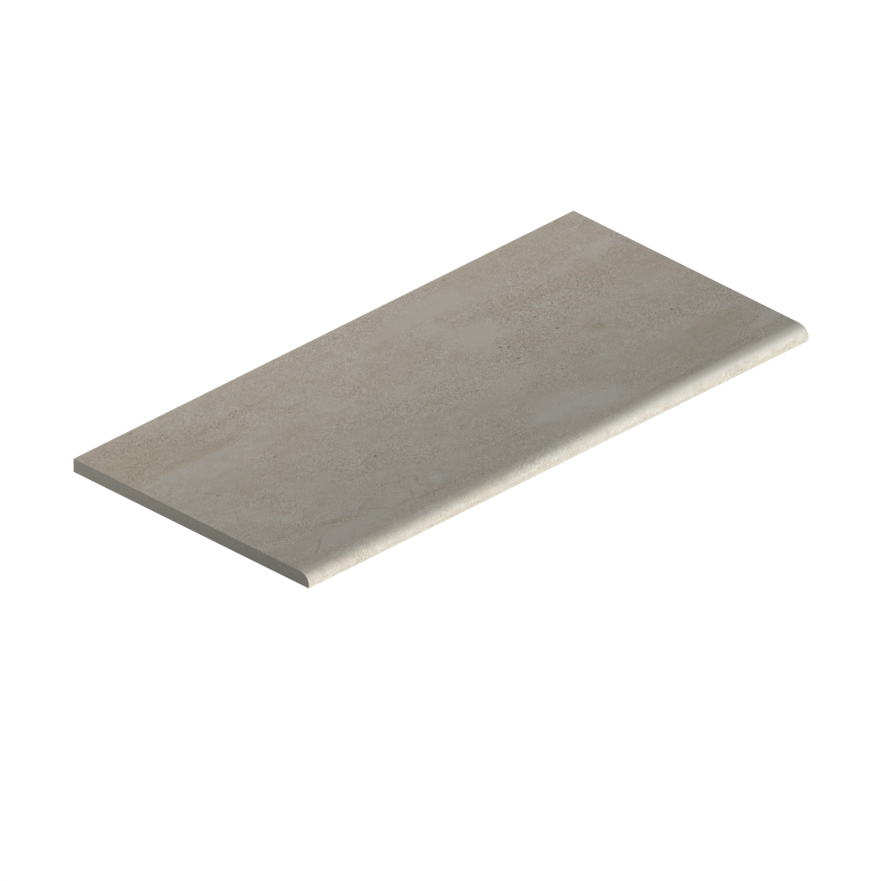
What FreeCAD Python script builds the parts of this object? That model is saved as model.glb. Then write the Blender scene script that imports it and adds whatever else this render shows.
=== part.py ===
import FreeCAD, Part
import Sketcher
import math
import os

# Stair nosing tile: one pressed and fired slab of porcelain stoneware. The front long edge is a
# bullnose: the tread rolls over in a wide, gentle arc, then in a tight one that ends on a short
# upright face. The back long edge and both ends are ground square with a fine arris, so that a
# joint of even width is left to the next tile or the riser. The underside is keyed for the
# adhesive: rows of shallow pressed cells, with a flat grid of ribs between them that stands on
# the bed.
#
# X runs along the nose, -Y is the nose and +Y the back edge, +Z is up. The origin is at the
# middle of the underside.

DRIVING_SIZES = {
    "tile_length": 597.0,  # calibrated length, end to end
    "tile_depth": 281.0,  # tread depth, nose to back edge
    "tile_thickness": 13.0,
    "nose_radius": 9.0,  # tight arc of the bullnose, down to the upright face
    "roll_radius": 30.0,  # gentle arc between the tread and the tight one
    "nose_reach": 14.5,  # how far back on the tread the roll starts
    "top_arris": 0.3,  # ground bevel round the tread
    "foot_arris": 0.2,  # ground bevel round the underside
    "key_depth": 0.7,  # pressed cells of the keyed back
    "key_draft": 20.0,  # lean of a cell's walls, in degrees
    "key_cell_length": 28.0,  # one cell at the underside, along X
    "key_cell_width": 28.0,  # one cell at the underside, along Y
    "key_corner_radius": 3.0,
    "key_rib": 4.0,  # flat rib between two cells
    "key_end_margin": 10.0,  # least plain border at each end
    "key_back_margin": 10.0,  # least plain border at the back edge
    "key_nose_margin": 30.0,  # least plain band where the nose stands out over the riser
}

NODE = "nosing_tile"
OUT_DIR = "parts"
SAME_PLACE = 1e-4  # two coordinates closer than this, in mm, are the same


def cells_in(room, cell):
    # As many cells as a stretch holds, as a sheet expression.
    return f"floor(({room} + sizes.key_rib) / ({cell} + sizes.key_rib))"


def first_edge(middle, count, cell):
    # Where a centred row of cells starts, as a sheet expression.
    return f"{middle} - ({count} * ({cell} + sizes.key_rib) - sizes.key_rib) / 2"


def row_reach(count, cell):
    # From the first cell of a row to its last, as a sheet expression.
    return f"({count} - 1) * ({cell} + sizes.key_rib)"


COLUMNS = cells_in("sizes.tile_length - 2 * sizes.key_end_margin", "sizes.key_cell_length")
ROWS = cells_in(
    "sizes.tile_depth - sizes.key_nose_margin - sizes.key_back_margin", "sizes.key_cell_width"
)
FIRST_COLUMN = first_edge("0", COLUMNS, "sizes.key_cell_length")
FIRST_ROW = first_edge(
    "(sizes.key_nose_margin - sizes.key_back_margin) / 2", ROWS, "sizes.key_cell_width"
)


def size_sheet(doc):
    sheet = doc.addObject("Spreadsheet::Sheet", "sizes")
    for row, (name, value) in enumerate(DRIVING_SIZES.items(), start=1):
        sheet.set(f"A{row}", name)
        sheet.set(f"B{row}", str(value))
        sheet.setAlias(f"B{row}", name)
    doc.recompute()
    return sheet


def origin_feature(body, role):
    return next(item for item in body.Origin.OriginFeatures if item.Role == role)


def new_sketch(body, name, plane_role):
    sketch = body.newObject("Sketcher::SketchObject", name)
    sketch.AttachmentSupport = [(origin_feature(body, plane_role), "")]
    sketch.MapMode = "FlatFace"
    return sketch


def point(x, y):
    return FreeCAD.Vector(x, y, 0)


def arc(x, y, radius, begins, ends):
    circle = Part.Circle(point(x, y), FreeCAD.Vector(0, 0, 1), radius)
    return Part.ArcOfCircle(circle, begins, ends)


def constrain(sketch, kind, *where):
    sketch.addConstraint(Sketcher.Constraint(kind, *where))


def dimension(sketch, name, expression, kind, *where):
    # A named dimension that follows the sheet. Its first value only opens the sketch.
    index = sketch.addConstraint(Sketcher.Constraint(kind, *where))
    sketch.renameConstraint(index, name)
    sketch.setExpression(f"Constraints.{name}", expression)


def side_profile(body):
    # The section through the depth: sketch X is the frame's Y, sketch Y is its Z.
    start = DRIVING_SIZES
    half = start["tile_depth"] / 2
    high = start["tile_thickness"]
    tight = start["nose_radius"]
    gentle = start["roll_radius"]
    reach = start["nose_reach"]
    roll_angle = math.asin((reach - tight) / (gentle - tight))
    nose_height = high - gentle + (gentle - tight) * math.cos(roll_angle)
    sketch = new_sketch(body, "side_profile", "YZ_Plane")
    foot = sketch.addGeometry(Part.LineSegment(point(-half, 0), point(half, 0)))
    back = sketch.addGeometry(Part.LineSegment(point(half, 0), point(half, high)))
    tread = sketch.addGeometry(Part.LineSegment(point(half, high), point(reach - half, high)))
    roll = sketch.addGeometry(
        arc(reach - half, high - gentle, gentle, math.pi / 2, math.pi / 2 + roll_angle)
    )
    nose = sketch.addGeometry(
        arc(tight - half, nose_height, tight, math.pi / 2 + roll_angle, math.pi)
    )
    upright = sketch.addGeometry(Part.LineSegment(point(-half, nose_height), point(-half, 0)))
    first, last = 1, 2  # a line's or an arc's ends, as the sketcher counts them
    origin = (-1, 1)
    constrain(sketch, "Coincident", foot, last, back, first)
    constrain(sketch, "Coincident", back, last, tread, first)
    constrain(sketch, "Tangent", tread, last, roll, first)
    constrain(sketch, "Tangent", roll, last, nose, first)
    constrain(sketch, "Tangent", nose, last, upright, first)
    constrain(sketch, "Coincident", upright, last, foot, first)
    constrain(sketch, "Horizontal", foot)
    constrain(sketch, "Horizontal", tread)
    constrain(sketch, "Vertical", back)
    constrain(sketch, "Vertical", upright)
    constrain(sketch, "Symmetric", foot, first, foot, last, *origin)
    dimension(sketch, "depth", "sizes.tile_depth", "Distance", foot, 2 * half)
    dimension(sketch, "thickness", "sizes.tile_thickness", "Distance", back, high)
    dimension(sketch, "nose_radius", "sizes.nose_radius", "Radius", nose, tight)
    dimension(sketch, "roll_radius", "sizes.roll_radius", "Radius", roll, gentle)
    dimension(
        sketch, "nose_reach", "sizes.nose_reach", "DistanceX",
        upright, first, roll, first, reach,
    )
    return sketch


def tile_slab(body, profile):
    slab = body.newObject("PartDesign::Pad", "tile_slab")
    slab.Profile = profile
    slab.SideType = "Symmetric"
    slab.setExpression("Length", "sizes.tile_length")
    return slab


def outline_edges(shape, is_wanted):
    # Names of the edges that the test picks by their middle point.
    names = []
    for number, edge in enumerate(shape.Edges, start=1):
        middle = edge.valueAt((edge.FirstParameter + edge.LastParameter) / 2)
        if is_wanted(middle):
            names.append(f"Edge{number}")
    return names


def bevel(body, base, name, size_alias, is_wanted):
    chamfer = body.newObject("PartDesign::Chamfer", name)
    chamfer.Base = (base, outline_edges(base.Shape, is_wanted))
    chamfer.setExpression("Size", f"sizes.{size_alias}")
    body.Document.recompute()
    return chamfer


def ground_edges(body, slab):
    # The tread's arris runs along the back edge, down both ends and round the nose to the foot.
    box = slab.Shape.BoundBox

    def at_an_end(middle):
        return abs(abs(middle.x) - box.XMax) < SAME_PLACE

    def on_the_foot(middle):
        return abs(middle.z - box.ZMin) < SAME_PLACE

    def on_the_back_top(middle):
        return abs(middle.y - box.YMax) < SAME_PLACE and abs(middle.z - box.ZMax) < SAME_PLACE

    def at_the_back(middle):
        return abs(middle.y - box.YMax) < SAME_PLACE

    def round_the_tread(middle):
        if at_an_end(middle):
            return not on_the_foot(middle) and not at_the_back(middle)
        return on_the_back_top(middle)

    tread = bevel(body, slab, "tread_arris", "top_arris", round_the_tread)
    return bevel(body, tread, "foot_arris", "foot_arris", on_the_foot)


def key_cell_outline(body):
    # One cell, a square with round corners, in the corner by the left end and the nose.
    start = DRIVING_SIZES
    length = start["key_cell_length"]
    width = start["key_cell_width"]
    radius = start["key_corner_radius"]
    left = -start["tile_length"] / 2 + start["key_end_margin"]
    near = -start["tile_depth"] / 2 + start["key_nose_margin"]
    right = left + length
    far = near + width
    sketch = new_sketch(body, "key_cell_outline", "XY_Plane")
    corners = [
        (right - radius, near + radius, -math.pi / 2),
        (right - radius, far - radius, 0),
        (left + radius, far - radius, math.pi / 2),
        (left + radius, near + radius, math.pi),
    ]
    arcs = [
        sketch.addGeometry(arc(x, y, radius, begins, begins + math.pi / 2))
        for x, y, begins in corners
    ]
    near_side, right_side, far_side, left_side = (
        sketch.addGeometry(Part.LineSegment(point(*a), point(*b)))
        for a, b in (
            ((left + radius, near), (right - radius, near)),
            ((right, near + radius), (right, far - radius)),
            ((right - radius, far), (left + radius, far)),
            ((left, far - radius), (left, near + radius)),
        )
    )
    sides = (near_side, right_side, far_side, left_side)
    first, last = 1, 2
    origin = (-1, 1)
    for number, side in enumerate(sides):
        constrain(sketch, "Tangent", side, last, arcs[number], first)
        constrain(sketch, "Tangent", arcs[number], last, sides[(number + 1) % 4], first)
    for other in arcs[1:]:
        constrain(sketch, "Equal", arcs[0], other)
    constrain(sketch, "Horizontal", near_side)
    constrain(sketch, "Vertical", right_side)
    constrain(sketch, "Horizontal", far_side)
    constrain(sketch, "Vertical", left_side)
    dimension(
        sketch, "corner_radius", "sizes.key_corner_radius", "Radius", arcs[0], radius
    )
    dimension(
        sketch, "cell_length", "sizes.key_cell_length", "DistanceX",
        left_side, first, right_side, first, length,
    )
    dimension(
        sketch, "cell_width", "sizes.key_cell_width", "DistanceY",
        near_side, first, far_side, first, width,
    )
    dimension(
        sketch, "first_column", FIRST_COLUMN, "DistanceX", *origin, left_side, first, left
    )
    dimension(
        sketch, "first_row", FIRST_ROW, "DistanceY", *origin, near_side, first, near
    )
    return sketch


def keyed_back(body, outline):
    # The cell is pressed up into the underside and repeated over it.
    cell = body.newObject("PartDesign::Pocket", "key_cell")
    cell.Profile = outline
    cell.Reversed = True
    cell.setExpression("Length", "sizes.key_depth")
    cell.setExpression("TaperAngle", "-sizes.key_draft")
    body.Document.recompute()
    grid = body.newObject("PartDesign::LinearPattern", "key_grid")
    grid.Originals = [cell]
    grid.Direction = (outline, ["H_Axis"])
    grid.Mode = "Extent"
    grid.setExpression("Occurrences", COLUMNS)
    grid.setExpression("Length", row_reach(COLUMNS, "sizes.key_cell_length"))
    grid.Direction2 = (outline, ["V_Axis"])
    grid.Mode2 = "Extent"
    grid.setExpression("Occurrences2", ROWS)
    grid.setExpression("Length2", row_reach(ROWS, "sizes.key_cell_width"))
    body.Tip = grid
    body.Document.recompute()
    return grid


def nosing_tile(doc):
    body = doc.addObject("PartDesign::Body", NODE)
    body.Label = NODE
    profile = side_profile(body)
    slab = tile_slab(body, profile)
    doc.recompute()
    ground_edges(body, slab)
    keyed_back(body, key_cell_outline(body))
    return body


def check_document(doc):
    for item in doc.Objects:
        if "Invalid" in item.State or "Error" in item.State:
            raise RuntimeError(f"{item.Label} failed: {item.State}")


def check_solid(body):
    shape = body.Shape
    if shape.isNull() or not shape.isValid() or len(shape.Solids) != 1:
        raise RuntimeError(f"{body.Label} is not one valid solid")


def main():
    doc = FreeCAD.newDocument("stair_nosing_tile")
    size_sheet(doc)
    body = nosing_tile(doc)
    doc.recompute()
    check_document(doc)
    check_solid(body)
    os.makedirs(OUT_DIR, exist_ok=True)
    body.Shape.exportStep(os.path.join(OUT_DIR, f"{body.Label}.step"))
    box = body.Shape.BoundBox
    print(
        f"{body.Label}: {box.XLength:.2f} x {box.YLength:.2f} x {box.ZLength:.2f} mm, "
        f"{body.Shape.Volume / 1000:.1f} cm3, {len(body.Shape.Faces)} faces"
    )


main()
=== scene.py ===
import bpy
import bmesh
import math
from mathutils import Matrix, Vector


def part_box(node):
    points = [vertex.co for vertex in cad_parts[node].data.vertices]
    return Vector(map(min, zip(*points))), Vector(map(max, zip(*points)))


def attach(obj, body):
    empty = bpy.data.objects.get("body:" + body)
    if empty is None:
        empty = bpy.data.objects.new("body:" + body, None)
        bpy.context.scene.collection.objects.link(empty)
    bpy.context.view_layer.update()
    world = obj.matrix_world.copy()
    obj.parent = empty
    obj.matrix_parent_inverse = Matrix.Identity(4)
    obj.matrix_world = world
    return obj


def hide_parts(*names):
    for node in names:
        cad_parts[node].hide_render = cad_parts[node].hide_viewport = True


bpy.context.scene.view_settings.view_transform = "Standard"
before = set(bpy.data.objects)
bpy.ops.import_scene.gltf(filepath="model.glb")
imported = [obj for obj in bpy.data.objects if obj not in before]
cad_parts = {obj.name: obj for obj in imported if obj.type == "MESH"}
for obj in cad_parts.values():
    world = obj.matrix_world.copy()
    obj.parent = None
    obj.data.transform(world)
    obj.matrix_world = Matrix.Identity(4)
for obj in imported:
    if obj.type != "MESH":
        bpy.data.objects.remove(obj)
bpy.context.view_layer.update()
mm = 0.001
tolerance = 0.01 * mm  # places nearer than this are one


# Working in edit mode

def deselectAll():
    if bpy.context.mode != "OBJECT":
        bpy.ops.object.mode_set(mode="OBJECT")
    bpy.ops.object.select_all(action="DESELECT")


def pick(kind, wanted):  # selects what passes the test, in the mesh that is in edit mode
    bpy.ops.mesh.select_mode(type=kind)
    bpy.ops.mesh.select_all(action="DESELECT")
    data = bpy.context.object.data
    mesh = bmesh.from_edit_mesh(data)
    for part in {"VERT": mesh.verts, "EDGE": mesh.edges, "FACE": mesh.faces}[kind]:
        if wanted(part):
            part.select = True
    mesh.select_flush_mode()
    bmesh.update_edit_mesh(data)


def near(a, b):
    return abs(a - b) < tolerance


def liesAt(edge, axis, place):  # both ends of the edge are at that place on the axis
    return all(near(corner.co[axis], place) for corner in edge.verts)


def pull(x=0.0, y=0.0, z=0.0):  # extrudes the selected edges
    bpy.ops.mesh.extrude_region_move(TRANSFORM_OT_translate={"value": (x, y, z)})


def applyModifier(piece, kind, **settings):
    bpy.context.view_layer.objects.active = piece
    modifier = piece.modifiers.new(kind.lower(), kind)
    for name, value in settings.items():
        setattr(modifier, name, value)
    bpy.ops.object.modifier_apply(modifier=modifier.name)


# The tile

tile = {
    "low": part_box("nosing_tile")[0],
    "high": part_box("nosing_tile")[1],
    "noseRadius": 9 * mm,
    "rollRadius": 30 * mm,
    "noseReach": 14.5 * mm,
    "gridStep": 2 * mm,
    "rollSteps": 8,
    "noseSteps": 24,
    "topArris": 0.3 * mm,
    "footArris": 0.2 * mm,
    "arrisSteps": 2,
    "cornerAngle": math.radians(45),  # an edge that turns by more gets an arris
    "sharpAngle": math.radians(20),  # an edge that turns by less is shaded smooth
    "reliefDepth": 0.15 * mm,  # the pressed relief only ever goes inwards
    "reliefSize": 28 * mm,
    "reliefDetail": 3,
}

tile["length"] = tile["high"].x - tile["low"].x
tile["rollAngle"] = math.asin(
    (tile["noseReach"] - tile["noseRadius"]) / (tile["rollRadius"] - tile["noseRadius"])
)
tile["rollCentre"] = (
    0, tile["low"].y + tile["noseReach"], tile["high"].z - tile["rollRadius"]
)
tile["noseCentre"] = (
    0,
    tile["low"].y + tile["noseRadius"],
    tile["rollCentre"][2]
    + (tile["rollRadius"] - tile["noseRadius"]) * math.cos(tile["rollAngle"]),
)

keys = {
    "cell": 28 * mm,
    "rib": 4 * mm,
    "corner": 3 * mm,
    "cornerSteps": 4,
    "depth": 0.7 * mm,
    "draft": math.radians(20),
    "columns": 18,
    "rows": 7,
    "middle": 10 * mm,  # the rows' middle, behind the tile's
}


def makeSlab():
    low, high = tile["low"], tile["high"]
    rollY = tile["rollCentre"][1]
    treadDepth = high.y - rollY
    deselectAll()
    bpy.ops.mesh.primitive_grid_add(
        x_subdivisions=round(tile["length"] / tile["gridStep"]),
        y_subdivisions=round(treadDepth / tile["gridStep"]),
        size=1,
    )
    slab = bpy.context.object
    slab.name = "nosingTile"
    bpy.ops.object.mode_set(mode="EDIT")
    bpy.ops.transform.resize(value=(tile["length"], treadDepth, 1))
    bpy.ops.transform.translate(value=(0, (high.y + rollY) / 2, high.z))

    # the nose: the tread's front edge is swept round the two arcs and down to the foot
    pick("EDGE", lambda edge: liesAt(edge, 1, rollY))
    bpy.ops.mesh.spin(
        steps=tile["rollSteps"], angle=-tile["rollAngle"],
        center=tile["rollCentre"], axis=(1, 0, 0),
    )
    bpy.ops.mesh.spin(
        steps=tile["noseSteps"], angle=tile["rollAngle"] - math.pi / 2,
        center=tile["noseCentre"], axis=(1, 0, 0),
    )
    pull(z=low.z - tile["noseCentre"][2])
    pick("EDGE", lambda edge: liesAt(edge, 1, high.y))
    pull(z=low.z - high.z)

    # the ends and the foot
    for side in (low.x, high.x):
        pick("EDGE", lambda edge: edge.is_boundary and liesAt(edge, 0, side))
        bpy.ops.mesh.edge_face_add()
    pick("EDGE", lambda edge: edge.is_boundary)
    bpy.ops.mesh.edge_face_add()
    bpy.ops.mesh.select_all(action="SELECT")
    bpy.ops.mesh.normals_make_consistent(inside=False)
    return slab


def grindEdges():
    low, high = tile["low"], tile["high"]

    def isCorner(edge):
        return len(edge.link_faces) == 2 and edge.calc_face_angle() > tile["cornerAngle"]

    def roundTheTread(edge):
        upright = liesAt(edge, 1, high.y) and not liesAt(edge, 2, high.z)
        return isCorner(edge) and not liesAt(edge, 2, low.z) and not upright

    pick("EDGE", roundTheTread)
    bpy.ops.mesh.bevel(
        offset=tile["topArris"], segments=tile["arrisSteps"], affect="EDGES"
    )
    pick("EDGE", lambda edge: isCorner(edge) and liesAt(edge, 2, low.z))
    bpy.ops.mesh.bevel(
        offset=tile["footArris"], segments=tile["arrisSteps"], affect="EDGES"
    )
    bpy.ops.object.mode_set(mode="OBJECT")


def keyTheBack(slab):  # presses the rows of shallow cells into the foot
    pitch = keys["cell"] + keys["rib"]
    firstX = -(keys["columns"] - 1) * pitch / 2
    firstY = keys["middle"] - (keys["rows"] - 1) * pitch / 2
    slope = 2 * keys["depth"] * math.tan(keys["draft"]) / keys["cell"]
    deselectAll()
    bpy.ops.mesh.primitive_cube_add(size=1)
    cutter = bpy.context.object
    bpy.ops.object.mode_set(mode="EDIT")
    bpy.ops.transform.resize(value=(keys["cell"], keys["cell"], 2 * keys["depth"]))
    bpy.ops.transform.translate(value=(firstX, firstY, tile["low"].z))
    pick("EDGE", lambda edge: not near(edge.verts[0].co.z, edge.verts[1].co.z))
    bpy.ops.mesh.bevel(offset=keys["corner"], segments=keys["cornerSteps"], affect="EDGES")
    for side, size in ((1, 1 - slope), (-1, 1 + slope)):  # the walls lean out to the foot
        pick("VERT", lambda corner: (corner.co.z - tile["low"].z) * side > 0)
        bpy.ops.transform.resize(
            value=(size, size, 1), center_override=(firstX, firstY, tile["low"].z)
        )
    bpy.ops.object.mode_set(mode="OBJECT")
    for axis, count in ((0, keys["columns"]), (1, keys["rows"])):
        step = [0, 0, 0]
        step[axis] = pitch
        applyModifier(
            cutter, "ARRAY", count=count, use_relative_offset=False,
            use_constant_offset=True, constant_offset_displace=step,
        )
    applyModifier(slab, "BOOLEAN", operation="DIFFERENCE", solver="EXACT", object=cutter)
    bpy.data.objects.remove(cutter)


def pressRelief(slab):  # the faint waves that the press leaves in the skin of the tread and nose
    skin = slab.vertex_groups.new(name="skin")
    low, high = tile["low"], tile["high"]
    inSkin = [
        corner.index for corner in slab.data.vertices
        if corner.co.z > low.z + tile["footArris"] * 2
        and abs(corner.co.x) < high.x - tile["topArris"] * 2
        and corner.co.y < high.y - tile["topArris"] * 2
    ]
    skin.add(inSkin, 1, "REPLACE")
    waves = bpy.data.textures.new("waves", "CLOUDS")
    waves.noise_scale = tile["reliefSize"]
    waves.noise_depth = tile["reliefDetail"]
    applyModifier(
        slab, "DISPLACE", texture=waves, texture_coords="LOCAL", vertex_group="skin",
        mid_level=1, strength=tile["reliefDepth"],
    )


def rollOut(place):  # where a point of the skin lies once the nose is rolled out flat
    rollArc = tile["rollRadius"] * tile["rollAngle"]
    noseArc = tile["noseRadius"] * (math.pi / 2 - tile["rollAngle"])
    if place.y >= tile["rollCentre"][1]:
        return place.y - tile["low"].y
    turned = math.atan2(
        tile["rollCentre"][1] - place.y, place.z - tile["rollCentre"][2]
    )
    if turned <= tile["rollAngle"]:
        return tile["noseReach"] - tile["rollRadius"] * turned
    if place.z >= tile["noseCentre"][2]:
        turned = math.atan2(
            tile["noseCentre"][1] - place.y, place.z - tile["noseCentre"][2]
        )
        return (
            tile["noseReach"] - rollArc - tile["noseRadius"] * (turned - tile["rollAngle"])
        )
    return tile["noseReach"] - rollArc - noseArc - (tile["noseCentre"][2] - place.z)


def layPrint(slab):  # the print's own map, in metres: along the nose, and back over it
    flat = slab.data.uv_layers.new(name="printPlace")
    for corner in slab.data.loops:
        place = slab.data.vertices[corner.vertex_index].co
        flat.uv[corner.index].vector = (place.x - tile["low"].x, rollOut(place))


def makeTile():
    slab = makeSlab()
    grindEdges()
    pressRelief(slab)
    keyTheBack(slab)
    layPrint(slab)
    deselectAll()
    slab.select_set(True)
    bpy.context.view_layer.objects.active = slab
    bpy.ops.object.shade_smooth_by_angle(angle=tile["sharpAngle"])
    print("tile modelled")
    return slab


# Shader maths

class Field:  # a socket that Python can calculate with
    def __init__(self, shader, socket):
        self.shader, self.socket = shader, socket

    def maths(self, operation, *values):
        settings = {"operation": operation}
        return self.shader.node("ShaderNodeMath", settings, dict(enumerate(values)))

    def output(self, name):  # another socket of the same node
        return Field(self.shader, self.socket.node.outputs[name])

    def __add__(self, other):
        return self.maths("ADD", self, other)

    def __sub__(self, other):
        return self.maths("SUBTRACT", self, other)

    def __rsub__(self, other):
        return self.maths("SUBTRACT", other, self)

    def __mul__(self, other):
        return self.maths("MULTIPLY", self, other)

    __radd__ = __add__
    __rmul__ = __mul__


class Shader:
    def __init__(self, owner):  # a new material or world
        owner.use_nodes = True
        self.owner, self.tree = owner, owner.node_tree
        self.tree.nodes.clear()

    def node(self, kind, settings=None, values=None, output=0):
        made = self.tree.nodes.new(kind)
        for name, value in (settings or {}).items():
            setattr(made, name, value)
        for name, value in (values or {}).items():
            if isinstance(value, Field):
                self.tree.links.new(value.socket, made.inputs[name])
            else:
                made.inputs[name].default_value = value
        return Field(self, made.outputs[output]) if made.outputs else None

    def noise(self, place, size, detail=2.0, rough=0.5):
        # size is the width of a patch on each axis, in the place's own units
        return self.node(
            "ShaderNodeTexNoise", None,
            {"Vector": self.vector("DIVIDE", place, size), "Scale": 1.0,
             "Detail": detail, "Roughness": rough},
        )

    def shift(self, place, size, reach):  # pushes the place to and fro
        push = self.vector(
            "SUBTRACT", self.noise(place, size).output("Color"), (0.5, 0.5, 0.5)
        )
        return self.vector("ADD", place, self.vector("MULTIPLY", push, reach))

    def cloud(self, base, place, size, swing, apart):  # patches, lighter and darker
        # swing is how far red, green and blue go together, and apart how far each goes alone
        colours = self.vector(
            "SUBTRACT", self.noise(place, size).output("Color"), (0.5, 0.5, 0.5)
        )
        level = self.node("ShaderNodeSeparateXYZ", None, {0: colours}, 1)
        together = self.node(
            "ShaderNodeVectorMath", {"operation": "SCALE"}, {0: swing, "Scale": level}
        )
        change = self.node(
            "ShaderNodeVectorMath", {"operation": "MULTIPLY_ADD"},
            {0: colours, 1: (apart, apart, apart), 2: together},
        )
        return self.vector("MULTIPLY", base, self.vector("ADD", change, (1, 1, 1)))

    def vector(self, operation, a, b):
        return self.node("ShaderNodeVectorMath", {"operation": operation}, {0: a, 1: b})

    def ease(self, value, low, high):  # 0 below low, 1 above high, smooth between
        return self.node(
            "ShaderNodeMapRange", {"interpolation_type": "SMOOTHSTEP"},
            {"Value": value, "From Min": low, "From Max": high},
        )

    def mix(self, amount, a, b, blend="MIX"):
        return self.node(
            "ShaderNodeMix", {"data_type": "RGBA", "blend_type": blend},
            {0: amount, 6: a, 7: b}, 2,
        )

    def finish(self, surface, output="ShaderNodeOutputMaterial"):
        self.node(output, None, {"Surface": surface})
        return self.owner


def colour(red, green, blue):
    return (red, green, blue, 1.0)


# The printed glaze of the tread and nose, with a painted highlight on the nose

glaze = {
    "noseStone": colour(0.501, 0.478, 0.411),
    "frontStone": colour(0.518, 0.478, 0.404),
    "backStone": colour(0.532, 0.470, 0.399),
    "frontPale": colour(0.574, 0.546, 0.486),
    "backPale": colour(0.568, 0.516, 0.460),
    "green": colour(0.958, 1.000, 0.998),
    # a painted highlight: the tint that lightens the nose's rounding
    "paintedHighlight": colour(1.165, 1.195, 1.200),
    "pink": colour(1.014, 0.972, 0.972),
    "brown": colour(0.960, 0.930, 0.895),
    "olive": colour(0.900, 0.865, 0.790),
    "vein": colour(0.780, 0.720, 0.600),
    "speck": colour(0.700, 0.630, 0.540),
    "pit": colour(0.520, 0.460, 0.380),
    "roughness": 0.6,
    "specular": 0.35,

    # sizes in millimetres: along the nose, back over the tread, and up
    "noseFade": (-2, 14),  # where the nose's stone gives way to the tread's
    "treadFade": (20, 260),  # from the front's stone to the back's
    "bend": ((50, 35, 1), (26, 18, 0)),  # each a size, and how far it pushes the print
    "tear": ((13, 9, 1), (15, 10, 0)),
    "fray": ((9, 7, 1), (9, 7, 0)),
    "clouds": (  # size, how far the colours go together, and how far apart
        ((120, 40, 1), (0.12, 0.14, 0.27), 0.035),
        ((26, 12, 1), (0.08, 0.09, 0.19), 0.04),
        ((9, 7, 1), (0.16, 0.16, 0.36), 0.14),
    ),
    "mottle": ((4, 3.2, 1), (0.14, 0.12, 0.34), 0.22),
    "grain": ((1.8, 0.6, 1), (1.55, 1.5, 1.85), 0.3),
    "grainTurn": math.radians(-45),
    "speckSizes": ((3.0, 2.4, 1), (1.6, 1.2, 1)),
    "speckShare": (0.76, 0.84),  # higher for fewer specks

    # how much of a mark's half width its edge takes
    "softEdge": 0.7,
    "chipEdge": 0.4,
    "oliveEdge": 0.35,
    "paintedHighlightEdge": 1,
    "veinEdge": 0.5,
    "pitEdge": 0.5,

    # the crumbs that break up the pale marks and the veins
    "crumbSize": (9, 6, 1),
    "crumbDetail": 4,
    "crumbRoughness": 0.6,
    "crumbShare": (0.25, 0.6),
    "crumbDepth": 0.6,  # how far a mark fades between the crumbs

    # how rough the print is, from 0 to 1, and what makes it so
    "roughSize": (45, 28, 1),
    "roughSwing": 1.5,
    "roughLevel": -0.05,
    "roughMarked": 0.5,
    "paleSmooth": 0.45,
    "roughSpecks": 0.14,
}

# The marks of the print, and the painted highlight on the nose: along the nose, back from its
# front, half length, half width, turn and strength, in millimetres and degrees

paleMarks = (
    (384, 250, 66, 22, 0, 0.75),
    (440, 240, 50, 12, 0, 0.4),
    (520, 252, 60, 16, 0, 0.25),
    (388, 190, 44, 24, 0, 0.95),
    (370, 220, 18, 14, 0, 0.75),
    (220, 190, 24, 18, -30, 0.8),
    (162, 42, 54, 18, 0, 0.75),
    (75, 31, 70, 13, 5, 0.7),
    (100, 197, 70, 9, 5, 0.12),
    (350, 113, 46, 18, 0, 0.38),
    (450, 88, 44, 7, 0, 0.3),
    (165, 215, 20, 16, -50, 0.5),
    (210, 222, 30, 14, 0, 0.35),
)
chipMarks = (
    (364, 47, 54, 30, -8, 0.6),
    (394, 37, 36, 15, -18, 0.6),
    (340, 49, 28, 9, 0, 0.6),
    (568, 221, 30, 10, 0, 0.6),
    (570, 7, 180, 9, 0, 0.9),
    (400, 4, 150, 6, 0, 0.35),
    (512, 218, 30, 8, 0, 0.35),
    (38, 104, 13, 11, 20, 0.4),
    (46, 90, 19, 8, -35, 0.35),
    (55, 78, 15, 7, -60, 0.4),
    (72, 84, 13, 4, 25, 0.3),
    (20, 74, 12, 8, 0, 0.25),
    (588, 37, 26, 9, 10, 0.9),
    (464, 38, 28, 5, -5, 0.4),
    (572, 252, 5, 14, -10, 0.4),
    (575, 226, 14, 8, 0, 0.3),
    (194, 42, 8, 7, 0, 0.5),
    (92, 136, 4, 12, 0, 0.4),
)
paintedHighlightMarks = (  # painted highlight over the nose's rounding, wider to the right
    (620, 5, 600, 10, 0, 1.0),
    (300, -9, 420, 3, 0, 0.2),
)
greenMarks = (
    (35, 163, 70, 17, 0, 0.8),
    (25, 190, 70, 14, 0, 0.8),
    (208, 222, 34, 15, 0, 0.7),
    (90, 262, 60, 12, 0, 0.5),
    (520, 115, 70, 35, 0, 0.5),
    (430, 72, 60, 10, 0, 0.6),
    (450, 88, 70, 9, 0, 0.7),
    (205, 130, 50, 18, 0, 0.5),
    (257, 114, 10, 8, 0, 0.9),
)
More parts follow.
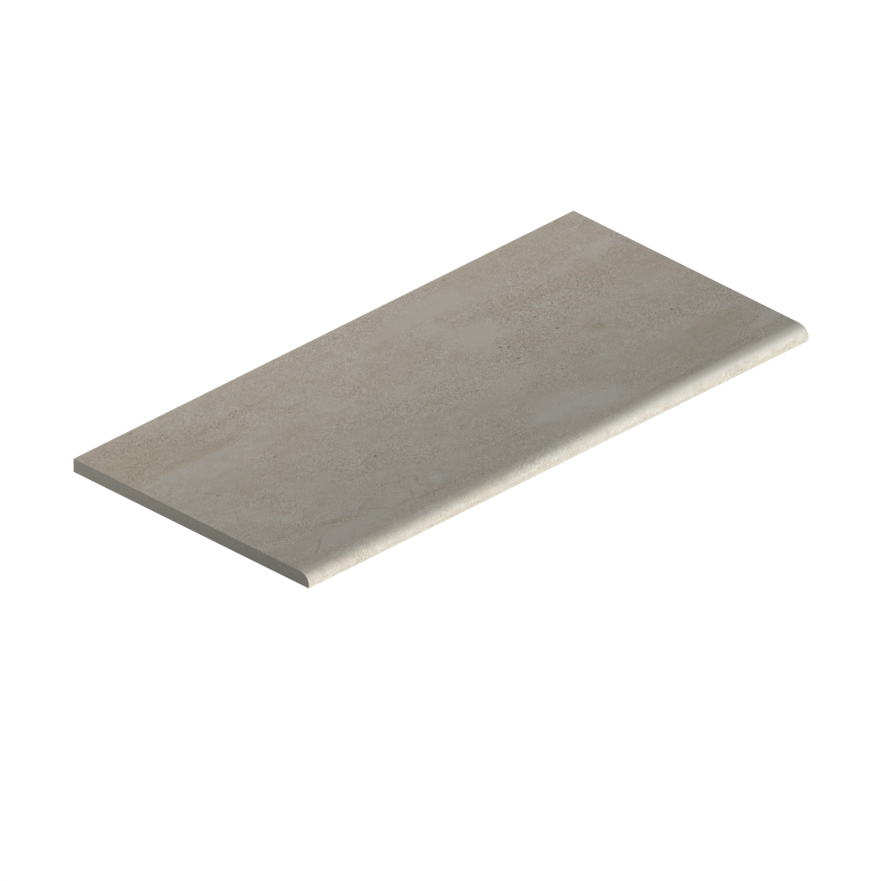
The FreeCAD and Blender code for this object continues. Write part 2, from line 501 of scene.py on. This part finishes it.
brownMarks = (
    (145, 172, 60, 22, 0, 0.5),
    (530, 105, 52, 16, 0, 0.4),
    (40, 165, 50, 14, 0, 0.25),
    (257, 114, 10, 8, 0, 1.2),
    (520, 250, 90, 20, 0, 0.3),
    (180, -3, 330, 6, 0, 0.6),
    (100, 128, 100, 34, 0, 0.4),
    (482, 206, 108, 20, -4, 0.6),
    (570, 182, 80, 34, 0, 1.3),
    (440, 122, 80, 28, 0, 0.5),
    (515, 50, 110, 34, 5, 0.9),
    (548, 62, 46, 18, 0, 1.4),
    (184, 99, 22, 11, 0, 0.8),
    (243, 97, 18, 10, 0, 0.6),
    (230, 77, 16, 9, 0, 0.6),
    (345, 87, 34, 4, 4, 0.35),
    (425, 81, 34, 3, -3, 0.7),
    (275, 40, 50, 18, 0, 0.5),
    (295, 195, 70, 30, 0, 0.6),
    (472, 130, 15, 12, -50, 1.2),
)
pinkMarks = (
    (145, 172, 80, 30, 0, 0.6),
    (90, 135, 90, 40, 0, 0.3),
    (520, 252, 90, 20, 0, 0.4),
    (280, 205, 80, 40, 0, 0.1),
)
oliveMarks = (
    (25, 237, 98, 36, 0, 0.75),
    (25, 234, 34, 20, 0, 1.1),
    (80, 211, 50, 8, 0, 0.95),
    (30, 275, 60, 12, 0, 0.5),
    (145, 237, 56, 5, 2, 0.65),
    (472, 130, 13, 10, -50, 0.25),
    (487, 112, 10, 5, -50, 0.4),
    (283, 134, 9, 7, 0, 0.6),
    (282, 113, 12, 6, 0, 0.6),
    (235, 232, 7, 6, 0, 0.5),
    (315, 230, 8, 6, -40, 0.5),
    (82, 51, 20, 6, 0, 0.3),
    (548, 62, 44, 14, 0, 0.5),
)
veinMarks = (
    (43, 31, 17, 2.2, 38, 1.0),
    (12, 22, 28, 4, 0, 0.3),
    (78, 52, 17, 4, -8, 0.6),
    (106, 49, 30, 1.8, 5, 0.35),
    (473, 128, 8, 5, -50, 0.8),
    (120, 53, 18, 2, 14, 0.6),
    (124, 38, 15, 2, -40, 0.8),
    (145, 31, 12, 2.5, 0, 0.7),
    (172, 27, 24, 1.8, -6, 0.6),
    (160, 37, 8, 2.2, 50, 0.9),
    (163, 48, 9, 1.8, -75, 0.6),
    (177, 42, 10, 2.0, -65, 0.8),
    (181, 53, 8, 1.8, 60, 1.0),
    (183, 39, 8, 1.8, -75, 0.6),
    (320, 74, 26, 2, 15, 0.5),
    (400, 70, 24, 2, -35, 0.3),
    (470, 18, 80, 3, 0, 0.5),
    (540, 24, 44, 2, 5, 0.4),
    (420, -6, 90, 1.4, 0, 0.35),
    (540, -4, 60, 1.2, 0.5, 0.3),
    (300, -3, 60, 1.2, -0.5, 0.3),
    (150, -6, 80, 1.4, 0, 0.2),
)
roughMarks = (  # below 0 where the print is smooth
    (465, 192, 90, 50, -10, 0.75),
    (400, 150, 50, 36, 30, 0.65),
    (300, 135, 90, 26, 0, 0.5),
    (55, 262, 60, 22, 0, 0.4),
    (150, 240, 60, 12, 0, 0.7),
    (190, 98, 60, 26, 0, 0.5),
    (35, 60, 50, 18, 0, 0.7),
    (560, 98, 70, 40, 0, 0.45),
    (285, 50, 40, 22, 0, 0.7),
    (90, 192, 120, 24, 0, -0.7),
    (50, 160, 80, 24, 0, -0.6),
    (520, 52, 110, 30, 0, -0.45),
    (400, 246, 110, 20, 0, -0.6),
    (80, 30, 90, 14, 0, -0.5),
    (290, 0, 460, 24, 0, -0.55),
    (290, 6, 60, 12, 0, 0.8),
)
pitMarks = (
    (389, 160, 3.0, 1.6, -40, 0.9),
    (394, 156, 2.6, 1.6, -40, 0.9),
    (386, 136, 3.4, 1.4, 0, 0.9),
    (122, 163, 1.8, 1.5, 0, 0.9),
    (42, 150, 2.0, 1.5, 0, 0.7),
    (183, 104, 2.6, 1.5, 20, 1.0),
    (245, 93, 2.2, 1.6, 30, 0.7),
    (272, 89, 2.0, 1.5, 0, 0.7),
    (322, 122, 2.0, 1.4, 20, 0.9),
    (400, 97, 1.6, 1.5, 0, 0.7),
    (537, 104, 1.9, 1.5, 20, 0.9),
    (588, 85, 2.0, 1.6, 0, 0.7),
    (446, 149, 2.6, 1.4, 35, 0.9),
    (422, 170, 3.4, 1.3, -15, 0.7),
    (428, 190, 2.2, 1.3, 20, 0.7),
    (475, 208, 2.4, 1.4, 40, 0.6),
    (64, 277, 3.0, 1.8, 0, 0.5),
)


def marks(shader, place, rows, edge=glaze["softEdge"]):  # patches where the rows say
    total = 0
    for along, back, halfLength, halfWidth, turn, strength in rows:
        within = shader.node(
            "ShaderNodeMapping", {"vector_type": "TEXTURE"},
            {"Vector": place, "Location": (along, back, 0),
             "Rotation": (0, 0, math.radians(turn)), "Scale": (halfLength, halfWidth, 1)},
        )
        fall = shader.node(  # 1 in the middle of the patch and 0 at its edge
            "ShaderNodeTexGradient", {"gradient_type": "SPHERICAL"}, {"Vector": within}, "Fac"
        )
        total = total + strength * shader.ease(fall, 0, edge)
    return total


def makeGlaze():
    shader = Shader(bpy.data.materials.new("printedGlazeWithPaintedHighlight"))
    flat = shader.vector(
        "DIVIDE", shader.node("ShaderNodeUVMap", {"uv_map": "printPlace"}), (mm, mm, 1)
    )
    bent = shader.shift(flat, *glaze["bend"])
    torn = shader.shift(bent, *glaze["tear"])
    frayed = shader.shift(flat, *glaze["fray"])
    aslant = shader.node(
        "ShaderNodeMapping", None, {"Vector": flat, "Rotation": (0, 0, glaze["grainTurn"])}
    )
    reach = shader.node("ShaderNodeSeparateXYZ", None, {0: flat}, 1)
    nose = 1 - shader.ease(reach, *glaze["noseFade"])
    back = shader.ease(reach, *glaze["treadFade"])

    # the stone's own cloudiness, from wide to fine
    stone = shader.mix(back, glaze["frontStone"], glaze["backStone"])
    stone = shader.mix(nose, stone, glaze["noseStone"])
    for size, swing, apart in glaze["clouds"]:
        stone = shader.cloud(stone, bent, size, swing, apart)

    # the placed marks, the pale ones and the veins broken up by crumbs
    crumbs = shader.noise(
        flat, glaze["crumbSize"], glaze["crumbDetail"], glaze["crumbRoughness"]
    )
    crumbs = shader.ease(crumbs, *glaze["crumbShare"])
    crumbs = (1 - glaze["crumbDepth"]) + glaze["crumbDepth"] * crumbs
    chips = marks(shader, frayed, chipMarks, glaze["chipEdge"])
    pale = marks(shader, torn, paleMarks) * crumbs + chips
    stone = shader.mix(pale, stone, shader.mix(back, glaze["frontPale"], glaze["backPale"]))
    for tint, amount in (
        ("green", marks(shader, torn, greenMarks)),
        ("pink", marks(shader, torn, pinkMarks)),
        ("brown", marks(shader, torn, brownMarks)),
        ("olive", marks(shader, frayed, oliveMarks, glaze["oliveEdge"])),
        # the painted highlight lightens the nose's rounding, wider to the right
        ("paintedHighlight", marks(shader, flat, paintedHighlightMarks, glaze["paintedHighlightEdge"])),
        ("vein", marks(shader, frayed, veinMarks, glaze["veinEdge"]) * crumbs),
    ):
        stone = shader.mix(amount, stone, glaze[tint], "MULTIPLY")

    # the grain and the specks, weaker where the print is pale or smooth
    rough = (
        glaze["roughSwing"] * shader.noise(bent, glaze["roughSize"]) + glaze["roughLevel"]
        + glaze["roughMarked"] * marks(shader, torn, roughMarks) - glaze["paleSmooth"] * pale
    )
    grainy = shader.cloud(stone, flat, *glaze["mottle"])
    grainy = shader.cloud(grainy, aslant, *glaze["grain"])
    stone = shader.mix(rough, stone, grainy)
    for size in glaze["speckSizes"]:
        level = shader.noise(flat, size, detail=1) + glaze["roughSpecks"] * rough
        specks = shader.ease(level, *glaze["speckShare"])
        stone = shader.mix(specks, stone, glaze["speck"], "MULTIPLY")
    pits = marks(shader, flat, pitMarks, glaze["pitEdge"])
    stone = shader.mix(pits, stone, glaze["pit"], "MULTIPLY")

    return shader.finish(shader.node(
        "ShaderNodeBsdfPrincipled", None,
        {"Base Color": stone, "Roughness": glaze["roughness"],
         "Specular IOR Level": glaze["specular"]},
    ))


# The bare body of the ground ends, the back edge and the foot

bare = {
    "clay": (0.520, 0.492, 0.428),  # red, green and blue
    "clouds": ((14, 0.10), (4, 0.16), (1.6, 0.50)),  # sizes in millimetres, and their swings
    "cloudApart": 0.02,
    "roughness": 0.8,
    "specular": 0.3,
}


def makeBare():
    shader = Shader(bpy.data.materials.new("bareBody"))
    place = shader.vector(
        "DIVIDE", shader.node("ShaderNodeTexCoord", None, None, "Object"), (mm, mm, mm)
    )
    clay = bare["clay"]
    for size, swing in bare["clouds"]:
        clay = shader.cloud(
            clay, place, (size, size, size), (swing, swing, swing), bare["cloudApart"]
        )
    return shader.finish(shader.node(
        "ShaderNodeBsdfPrincipled", None,
        {"Base Color": clay, "Roughness": bare["roughness"],
         "Specular IOR Level": bare["specular"]},
    ))


# The glaze goes on the tread and nose, up to the ground arrises

glazed = {  # how far the normal of a face in it points each way
    "leastUp": 0.01,
    "leastForward": 0.99,  # at the nose's foot, which is upright
    "mostAside": 0.3,
}


def dress(slab):
    slab.data.materials.append(makeBare())
    slab.data.materials.append(makeGlaze())
    for face in slab.data.polygons:
        normal = face.normal
        facesOut = normal.z > glazed["leastUp"] or normal.y < -glazed["leastForward"]
        atEnd = abs(normal.x) > glazed["mostAside"]
        atBack = face.center.y > tile["high"].y - tile["topArris"]
        atFoot = face.center.z < tile["low"].z + tile["footArris"]
        face.material_index = int(facesOut and not (atEnd or atBack or atFoot))


nosingTile = makeTile()
dress(nosingTile)
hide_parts("nosing_tile")
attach(nosingTile, "root")
print("tile dressed")


# The studio

studio = {
    "azimuth": math.radians(-45),
    "elevation": math.asin(0.4962),
    "viewWidth": 0.7437,
    "aimRight": -0.58 * mm,
    "aimUp": -28.9 * mm,
    "distance": 3.0,
    "clipEnd": 20.0,
    "floorSize": 12.0,
    "floorColour": colour(0.8, 0.8, 0.8),
    "floorSeen": 1.02,  # how bright the camera sees it, whatever light falls on it
    "white": colour(1, 1, 1),
    "worldLight": 0.14,
    "keyStrength": 4.0,
    "keyElevation": math.radians(3),
    "keyTurn": math.radians(20),
    "keySpread": math.radians(6),
    "stripPower": 3.1,
    "stripSize": (3.0, 0.25),
    "stripBack": 0.15,
    "stripHeight": 0.32,
}


def addObject(name, data, place=(0, 0, 0), turn=(0, 0, 0)):
    made = bpy.data.objects.new(name, data)
    bpy.context.scene.collection.objects.link(made)
    made.location = place
    made.rotation_euler = turn
    return made


def aimedAlong(direction):
    return direction.to_track_quat("-Z", "Y").to_euler()


def outwards(turn, rise):  # away from the tile, at that turn from its nose and that rise
    level = math.cos(rise)
    return Vector((math.sin(turn) * level, -math.cos(turn) * level, math.sin(rise)))


def makeCamera():
    turn = studio["azimuth"]
    back = outwards(turn, studio["elevation"])
    right = Vector((math.cos(turn), math.sin(turn), 0))
    up = back.cross(right)
    data = bpy.data.cameras.new("camera")
    data.type = "ORTHO"
    data.ortho_scale = studio["viewWidth"]
    data.clip_end = studio["clipEnd"]
    aim = right * studio["aimRight"] + up * studio["aimUp"]
    camera = addObject("camera", data, aim + back * studio["distance"], aimedAlong(-back))
    bpy.context.scene.camera = camera


def isSeen(shader):  # 1 for what the camera, a mirror or a glass sees
    seen = shader.node("ShaderNodeLightPath", None, None, "Is Camera Ray")
    for ray in ("Is Glossy Ray", "Is Transmission Ray"):
        seen = seen.maths("MAXIMUM", seen, shader.node("ShaderNodeLightPath", None, None, ray))
    return seen


def makeFloor():
    shader = Shader(bpy.data.materials.new("paleFloor"))
    matte = shader.node("ShaderNodeBsdfDiffuse", None, {"Color": studio["floorColour"]})
    white = shader.node("ShaderNodeEmission", None, {"Strength": studio["floorSeen"]})
    surface = shader.node(
        "ShaderNodeMixShader", None, {0: isSeen(shader), 1: matte, 2: white}
    )
    deselectAll()
    bpy.ops.mesh.primitive_plane_add(size=studio["floorSize"])
    floor = bpy.context.object
    floor.name = "floor"
    floor.data.materials.append(shader.finish(surface))


def makeWorld():  # it lights the tile softly, and looks white
    shader = Shader(bpy.data.worlds.new("studio"))
    soft = shader.node(
        "ShaderNodeBackground", None,
        {"Color": studio["white"], "Strength": studio["worldLight"]},
    )
    white = shader.node("ShaderNodeBackground", None, {"Color": studio["white"]})
    surface = shader.node(
        "ShaderNodeMixShader", None, {0: isSeen(shader), 1: soft, 2: white}
    )
    bpy.context.scene.world = shader.finish(surface, "ShaderNodeOutputWorld")


def makeLights():
    key = bpy.data.lights.new("key", "SUN")
    key.energy = studio["keyStrength"]
    key.angle = studio["keySpread"]
    comesFrom = outwards(studio["keyTurn"], studio["keyElevation"])
    addObject("key", key, turn=aimedAlong(-comesFrom))
    strip = bpy.data.lights.new("strip", "AREA")
    strip.shape = "RECTANGLE"
    strip.size, strip.size_y = studio["stripSize"]
    strip.energy = studio["stripPower"]
    place = Vector((0, tile["high"].y + studio["stripBack"], studio["stripHeight"]))
    lamp = addObject("strip", strip, place, aimedAlong(-place))
    lamp.visible_camera = False


makeCamera()
makeFloor()
makeWorld()
makeLights()
print("studio lit")
